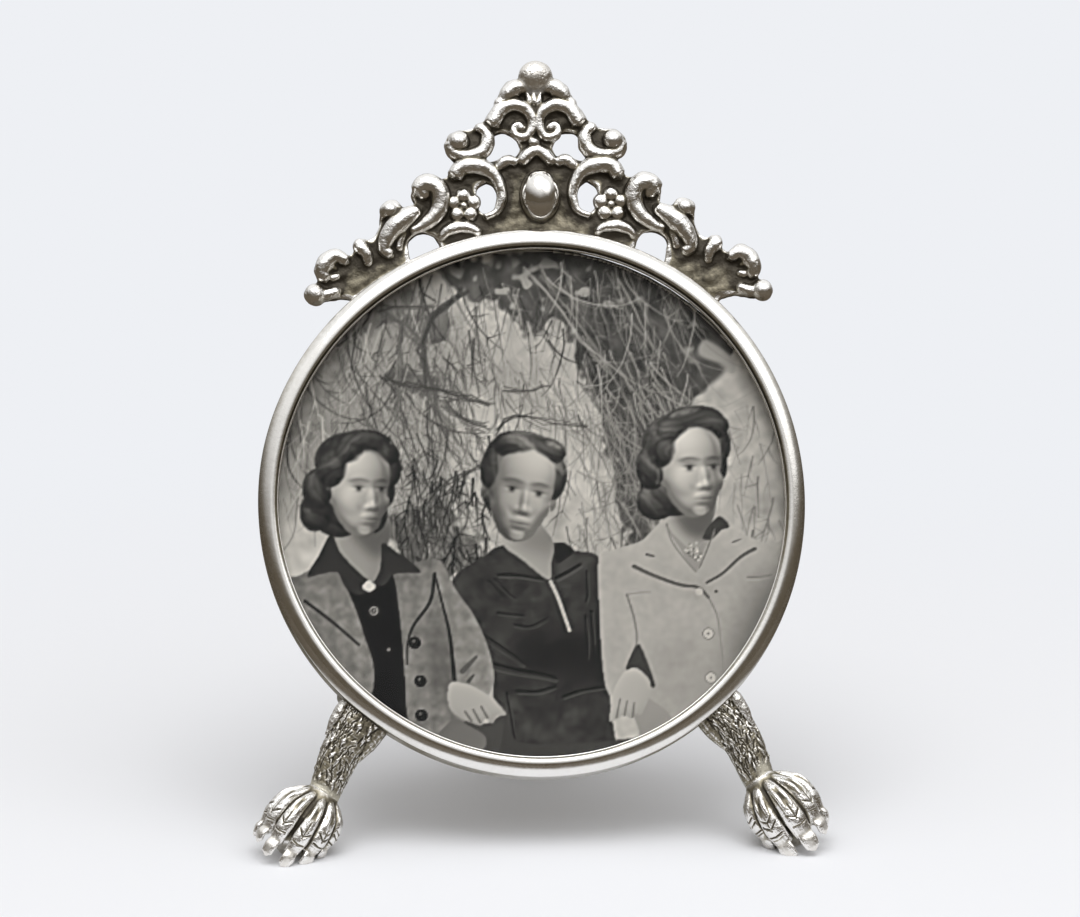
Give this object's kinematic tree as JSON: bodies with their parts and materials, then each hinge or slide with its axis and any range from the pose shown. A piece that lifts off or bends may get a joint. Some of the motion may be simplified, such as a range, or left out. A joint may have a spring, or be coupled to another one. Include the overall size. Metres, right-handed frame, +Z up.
{
  "type": "photo frame",
  "caption": "Round silver easel photo frame with a pierced scroll crest, lion-paw feet, a glazed print and a hinged rear strut that folds flat.",
  "frame": {"origin": "on the surface the frame stands on, at the middle of the whole piece from left to right and from front to back", "axes": "+Z up, +Y to the rear towards the strut, -Y towards the viewer, +X to the viewer's right; the ring leans back 22 degrees from upright"},
  "size_m": [0.0762, 0.0472, 0.0985],
  "materials": {
    "polished_silver": "polished, softly worn",
    "cast_silver": "cast and chased, bright on the high points with dark patina in the hollows",
    "sheet_silver": "rolled sheet, dull satin",
    "glass": "clear, polished",
    "print_paper": "semi-matt photographic print",
    "backing_board": "matt board"
  },
  "bodies": {
    "frame": {"bezel_moulding": "polished_silver", "rim_wall": "polished_silver", "glass_pane": "glass", "photo_print": "print_paper", "backing_card": "backing_board", "crest": "cast_silver", "crest_boss": "polished_silver", "left_leg": "cast_silver", "left_paw": "cast_silver", "right_leg": "cast_silver", "right_paw": "cast_silver", "back_plate": "sheet_silver", "hinge_leaf": "sheet_silver", "hinge_rivet_1": "sheet_silver", "hinge_rivet_2": "sheet_silver", "hinge_rivet_3": "sheet_silver", "hinge_rivet_4": "sheet_silver", "hinge_pin": "sheet_silver", "button_rivet_1": "sheet_silver", "button_rivet_2": "sheet_silver", "button_rivet_3": "sheet_silver", "button_rivet_4": "sheet_silver"},
    "strut": {"strut": "sheet_silver"},
    "turn_button_1": {"turn_button_1": "sheet_silver"},
    "turn_button_2": {"turn_button_2": "sheet_silver"},
    "turn_button_3": {"turn_button_3": "sheet_silver"},
    "turn_button_4": {"turn_button_4": "sheet_silver"}
  },
  "joints": [
    {"name": "strut_hinge", "type": "hinge", "parent": "frame", "child": "strut", "pos_m": [-0.00059, 0.00547, 0.04614], "axis": [1, 0, 0], "range_deg": [-42.5, 0]},
    {"name": "turn_button_1_pivot", "type": "hinge", "parent": "frame", "child": "turn_button_1", "pos_m": [0.02433, 0.01043, 0.06455], "axis": [0, 0.9272, -0.3746], "range_deg": [-90, 90]},
    {"name": "turn_button_2_pivot", "type": "hinge", "parent": "frame", "child": "turn_button_2", "pos_m": [-0.02552, 0.01043, 0.06455], "axis": [0, 0.9272, -0.3746], "range_deg": [-90, 90]},
    {"name": "turn_button_3_pivot", "type": "hinge", "parent": "frame", "child": "turn_button_3", "pos_m": [-0.02552, -0.00825, 0.01833], "axis": [0, 0.9272, -0.3746], "range_deg": [-90, 90]},
    {"name": "turn_button_4_pivot", "type": "hinge", "parent": "frame", "child": "turn_button_4", "pos_m": [0.02433, -0.00825, 0.01833], "axis": [0, 0.9272, -0.3746], "range_deg": [-90, 90]}
  ]
}
